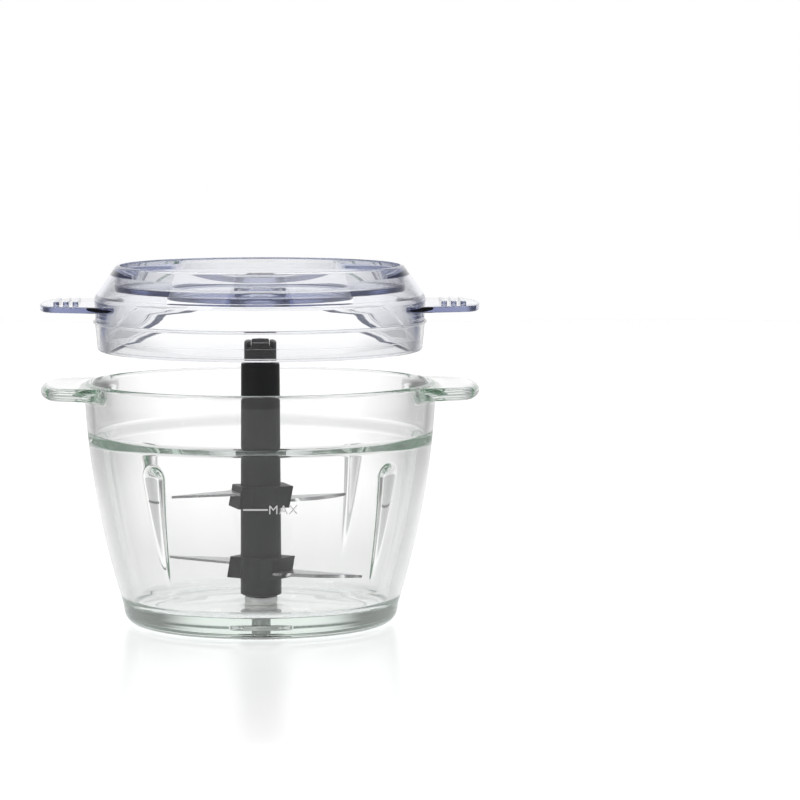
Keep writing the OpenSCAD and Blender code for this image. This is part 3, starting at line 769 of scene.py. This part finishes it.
for side in (1, -1):
    for step in (-1, 0, 1):
        grip = box(grip_size)
        upright = [e for e in grip.edges if abs(e.verts[0].co.z - e.verts[1].co.z) > MM]
        bmesh.ops.bevel(
            grip, geom=upright, offset=grip_side_round * MM, offset_type="OFFSET", segments=6,
            profile=0.5, affect="EDGES", material=-1)
        top = [e for e in grip.edges if min(v.co.z for v in e.verts) > MM]
        bmesh.ops.bevel(
            grip, geom=top, offset=grip_top_round * MM, offset_type="OFFSET", segments=3,
            profile=0.5, affect="EDGES", material=-1)
        middle_x = side * grip_middle + step * grip_pitch
        middle_z = lid_z + tab_thick + grip_proud - grip_size[2] / 2
        bmesh.ops.translate(grip, verts=grip.verts, vec=(middle_x * MM, 0, middle_z * MM))
        join(lid, put("grip", grip, lid_plastic), "UNION")
lid.data.set_sharp_from_angle(angle=math.radians(40))
even_normals(lid)
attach(lid, "lid")
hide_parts("lid")

# Seal: a clear soft ring of U section, pulled over the lower edge of the lid's skirt,
# with a lip at its top that presses against the glass.
seal_clear = clear_finish(
    "seal silicone", ior=1.2, tint=(0.3, 0.36, 0.5), density=10, scale=60,
    clean=0.02, smudged=0.06, wave=0.03)
seal_gap = 0.06
seal_outline = [
    (skirt_out_r + seal_gap, skirt_foot - seal_gap), (skirt_out_r + seal_gap, skirt_step - seal_gap),
    (70.25, skirt_step - seal_gap, 0.35),
    (70.25, -5.6, 0.35), (69.4, -5.8, 0.4), (68.35, -17.5, 1.4), (64.15, -17.5, 0.5),
    (64.15, -12.3, 0.4), (65.54 - seal_gap, -12.3, 0.2), (skirt_in_r - seal_gap, skirt_foot - seal_gap)]
seal_outline = [(radius, lid_z + height, *rest) for radius, height, *rest in seal_outline]
seal = put("seal", turned(seal_outline, 480), seal_clear, sharp=40)
even_normals(seal)
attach(seal, "lid")
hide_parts("lid_seal")

# Stage: a white table top with a soft gloss that fades towards the front, and white surroundings
# that shine less from the front and the sides. Glass and reflections see the table with painted shade: grey
# near the bowl, and further back greyer away from its middle; the camera sees it evenly white.
# One large soft light hangs above, and two smaller ones stand in front.
table_white = bpy.data.materials.new("table white")
table_white.use_nodes = True
table_shader = table_white.node_tree.nodes["Principled BSDF"]
table_shader.inputs["Roughness"].default_value = 0.24
table_place = table_white.node_tree.nodes.new("ShaderNodeTexCoord")
table_axes = table_white.node_tree.nodes.new("ShaderNodeSeparateXYZ")
table_aside = table_white.node_tree.nodes.new("ShaderNodeMath")
table_aside.operation = "ABSOLUTE"
# Painted shade: further back, the table greyer away from its middle, as glass and reflections see it.
table_side_shade = table_white.node_tree.nodes.new("ShaderNodeMapRange")
table_side_shade.inputs["From Min"].default_value = 0.09
table_side_shade.inputs["From Max"].default_value = 0.2
table_side_shade.inputs["To Min"].default_value = 0.93
table_side_shade.inputs["To Max"].default_value = 0.36
# Painted shade: the table grey near the bowl, turning into the middle and side shade further back.
table_depth_shade = table_white.node_tree.nodes.new("ShaderNodeMapRange")
table_depth_shade.inputs["From Min"].default_value = 0.2
table_depth_shade.inputs["From Max"].default_value = 0.5
table_depth_shade.inputs["To Min"].default_value = 0.65
table_gloss = table_white.node_tree.nodes.new("ShaderNodeMapRange")
table_gloss.inputs["From Min"].default_value = -0.3
table_gloss.inputs["From Max"].default_value = -0.1
table_gloss.inputs["To Max"].default_value = 0.45
# The camera sees the table evenly white; all other rays see the painted shade.
table_rays = table_white.node_tree.nodes.new("ShaderNodeLightPath")
table_shade_unless_camera = table_white.node_tree.nodes.new("ShaderNodeMapRange")
table_shade_unless_camera.inputs["To Max"].default_value = 0.93
table_links = table_white.node_tree.links
table_links.new(table_place.outputs["Object"], table_axes.inputs["Vector"])
table_links.new(table_axes.outputs["X"], table_aside.inputs[0])
table_links.new(table_aside.outputs["Value"], table_side_shade.inputs["Value"])
table_links.new(table_axes.outputs["Y"], table_depth_shade.inputs["Value"])
table_links.new(table_axes.outputs["Y"], table_gloss.inputs["Value"])
table_links.new(table_gloss.outputs["Result"], table_shader.inputs["Specular IOR Level"])
table_links.new(table_side_shade.outputs["Result"], table_depth_shade.inputs["To Max"])
table_links.new(table_rays.outputs["Is Camera Ray"], table_shade_unless_camera.inputs["Value"])
table_links.new(table_depth_shade.outputs["Result"], table_shade_unless_camera.inputs["To Min"])
table_links.new(table_shade_unless_camera.outputs["Result"], table_shader.inputs["Base Color"])
table_half = 0.8
table_front, table_back = -0.6, 1.8
table_drop = 0.05
table_mesh = bmesh.new()
bmesh.ops.create_grid(table_mesh, x_segments=1, y_segments=1, size=1)
table_deep, table_centre = (table_back - table_front) / 2, (table_back + table_front) / 2
bmesh.ops.scale(table_mesh, verts=table_mesh.verts, vec=(table_half, table_deep, 1))
bmesh.ops.translate(table_mesh, verts=table_mesh.verts, vec=(0, table_centre, -table_drop * MM))
table = put("table", table_mesh, table_white)

world = bpy.data.worlds.new("studio")
scene.world = world
world.use_nodes = True
sky = world.node_tree
air = sky.nodes["Background"]
seen = sky.nodes.new("ShaderNodeBackground")
seen.inputs["Color"].default_value = (1, 1, 1, 1)
direction = sky.nodes.new("ShaderNodeTexCoord")
axes = sky.nodes.new("ShaderNodeSeparateXYZ")
behind = sky.nodes.new("ShaderNodeMapRange")
behind.interpolation_type = "SMOOTHSTEP"
behind.inputs["From Min"].default_value = 0.8
behind.inputs["From Max"].default_value = 0.97
behind.inputs["To Min"].default_value = 0.25
behind.inputs["To Max"].default_value = 1.0
rays = sky.nodes.new("ShaderNodeLightPath")
either = sky.nodes.new("ShaderNodeMixShader")
sky.links.new(direction.outputs["Generated"], axes.inputs["Vector"])
sky.links.new(axes.outputs["Y"], behind.inputs["Value"])
sky.links.new(behind.outputs["Result"], air.inputs["Strength"])
air.inputs["Color"].default_value = (1, 1, 1, 1)
sky.links.new(rays.outputs["Is Camera Ray"], either.inputs["Fac"])
sky.links.new(air.outputs["Background"], either.inputs[1])
sky.links.new(seen.outputs["Background"], either.inputs[2])
sky.links.new(either.outputs["Shader"], sky.nodes["World Output"].inputs["Surface"])

soft_lights = {
    "light above": ((0, 0.9, 2), (0, 0.9, 0), 3.4, 3.4, 77),
    "light left": ((-1.0, -1.1, 0.75), (0, 0, 0.08), 0.5, 0.9, 4),
    "light right": ((1.1, -0.9, 0.8), (0, 0, 0.08), 0.4, 0.8, 2),
}
for name, (spot, target, width, height, power) in soft_lights.items():
    lamp = bpy.data.lights.new(name, "AREA")
    lamp.shape = "RECTANGLE"
    lamp.size = width
    lamp.size_y = height
    lamp.energy = power
    light = bpy.data.objects.new(name, lamp)
    scene.collection.objects.link(light)
    light.location = spot
    light.rotation_euler = (Vector(target) - light.location).to_track_quat("-Z", "Y").to_euler()
    light.visible_camera = False
    light.visible_transmission = False

scene.view_settings.view_transform = "Standard"
scene.cycles.max_bounces = 128
scene.cycles.glossy_bounces = 128
scene.cycles.transmission_bounces = 128
scene.cycles.transparent_max_bounces = 128
